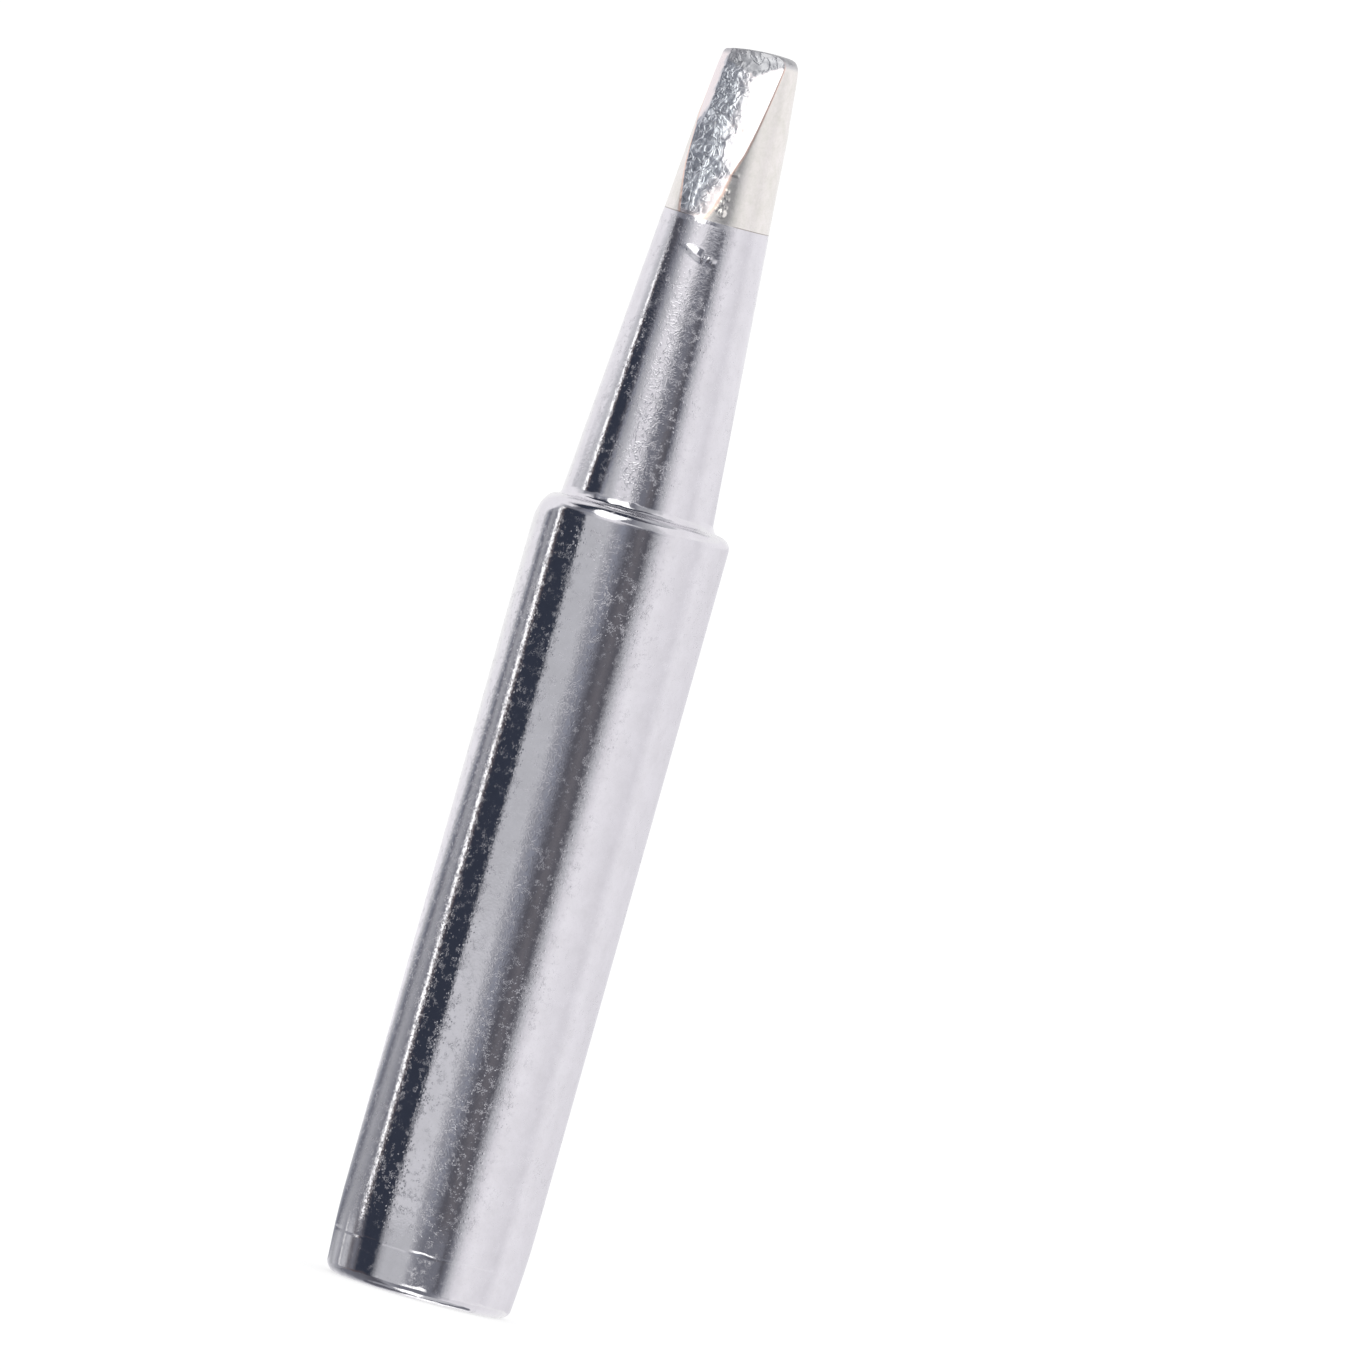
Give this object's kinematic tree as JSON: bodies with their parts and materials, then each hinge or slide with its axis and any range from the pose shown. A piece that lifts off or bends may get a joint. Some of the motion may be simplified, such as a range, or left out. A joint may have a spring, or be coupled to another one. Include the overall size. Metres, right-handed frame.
{
  "type": "soldering iron tip",
  "caption": "Chisel-bladed soldering iron tip: a turned sleeve that slips over a rod heater, a slim cone and a tinned blade.",
  "frame": {"origin": "centre of the open rear face, which the tip stands on", "axes": "+Z along the tip from the rear face to the blade; the blade's width lies along X and its two flats face -Y and +Y"},
  "size_m": [0.0065, 0.0064, 0.0425],
  "materials": {
    "plated_copper": "bright plated barrel and cone, tinned blade"
  },
  "bodies": {
    "root": {"soldering_tip": "plated_copper"}
  },
  "joints": []
}
